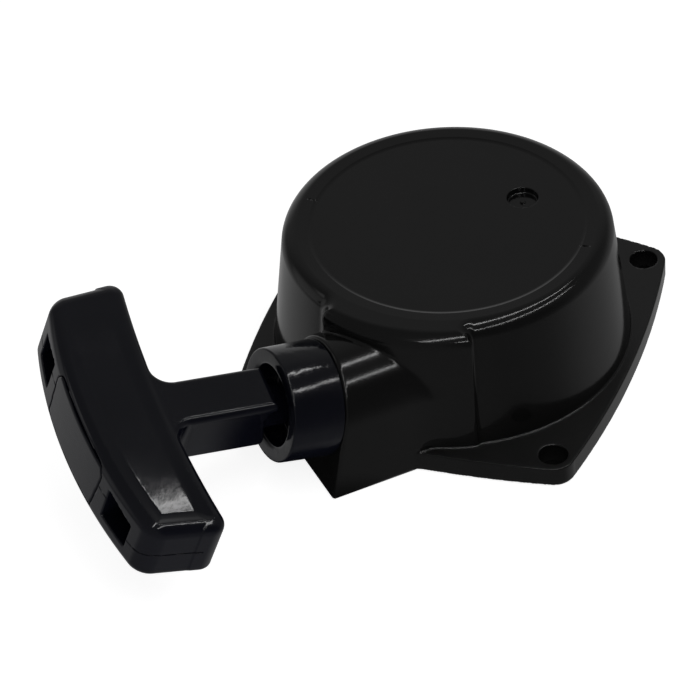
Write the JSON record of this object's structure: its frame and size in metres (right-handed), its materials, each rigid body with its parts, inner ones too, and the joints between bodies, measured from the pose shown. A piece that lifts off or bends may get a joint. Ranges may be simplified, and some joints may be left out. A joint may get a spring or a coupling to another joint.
{
  "type": "recoil starter",
  "caption": "Round recoil starter for a small engine: black drum on a square flange, arched rope outlet, rope guide and T-shaped pull handle.",
  "frame": {"origin": "drum axis at the mounting plane, the underside of the flange", "axes": "+Z from the mounting plane towards the drum top, away from the engine; the rope leaves along -X"},
  "size_m": [0.1457, 0.1027, 0.0433],
  "materials": {
    "housing_nylon": "satin",
    "handle_plastic": "gloss",
    "reel_nylon": "satin",
    "bushing_plastic": "satin",
    "rope_cord": "braided",
    "spring_steel": "oiled",
    "zinc_steel": "zinc plated",
    "pawl_steel": "hardened",
    "insert_brass": "turned"
  },
  "bodies": {
    "housing": {"housing": "housing_nylon", "rope_guide": "handle_plastic", "rope_eyelet": "zinc_steel", "spring_cassette": "housing_nylon", "recoil_spring": "spring_steel", "post_insert": "insert_brass", "center_screw": "zinc_steel", "retaining_washer": "zinc_steel", "friction_spring": "spring_steel"},
    "reel": {"reel": "reel_nylon", "reel_bushing": "bushing_plastic", "rope_winding": "rope_cord", "reel_rope_knot": "rope_cord", "pawl_springs": "spring_steel"},
    "friction_plate": {"friction_plate": "zinc_steel"},
    "pawl_a": {"pawl_a": "pawl_steel"},
    "pawl_b": {"pawl_b": "pawl_steel"},
    "handle": {"handle_grip": "handle_plastic", "knot_cover": "handle_plastic", "knot_washer": "zinc_steel", "handle_rope_knot": "rope_cord", "rope_lead": "rope_cord"}
  },
  "joints": [
    {"name": "handle_pull", "type": "slide", "parent": "housing", "child": "handle", "axis": [-0.977, 0, 0.213], "range_m": [0, 0.52], "stiffness_N_per_m": 23, "springref_m": -0.35, "deforming": ["rope_lead"]},
    {"name": "reel_spin", "type": "hinge", "parent": "housing", "child": "reel", "pos_m": [0, 0, 0.0157], "axis": [0, 0, -1], "range_deg": [0, 1800], "deforming": ["recoil_spring"]},
    {"name": "plate_shift", "type": "hinge", "parent": "reel", "child": "friction_plate", "pos_m": [0, 0, 0.0063], "axis": [0, 0, 1], "range_deg": [0, 20]},
    {"name": "pawl_a_swing", "type": "hinge", "parent": "reel", "child": "pawl_a", "pos_m": [0.0135, 0, 0.0077], "axis": [0, 0, 1], "range_deg": [0, 28]},
    {"name": "pawl_b_swing", "type": "hinge", "parent": "reel", "child": "pawl_b", "pos_m": [-0.0135, 0, 0.0077], "axis": [0, 0, 1], "range_deg": [0, 28]}
  ],
  "couplings": [
    {"joint": "reel_spin", "follows": "handle_pull", "rad_per_m": 60},
    {"joint": "pawl_a_swing", "follows": "plate_shift", "ratio": 1.4},
    {"joint": "pawl_b_swing", "follows": "plate_shift", "ratio": 1.4}
  ]
}
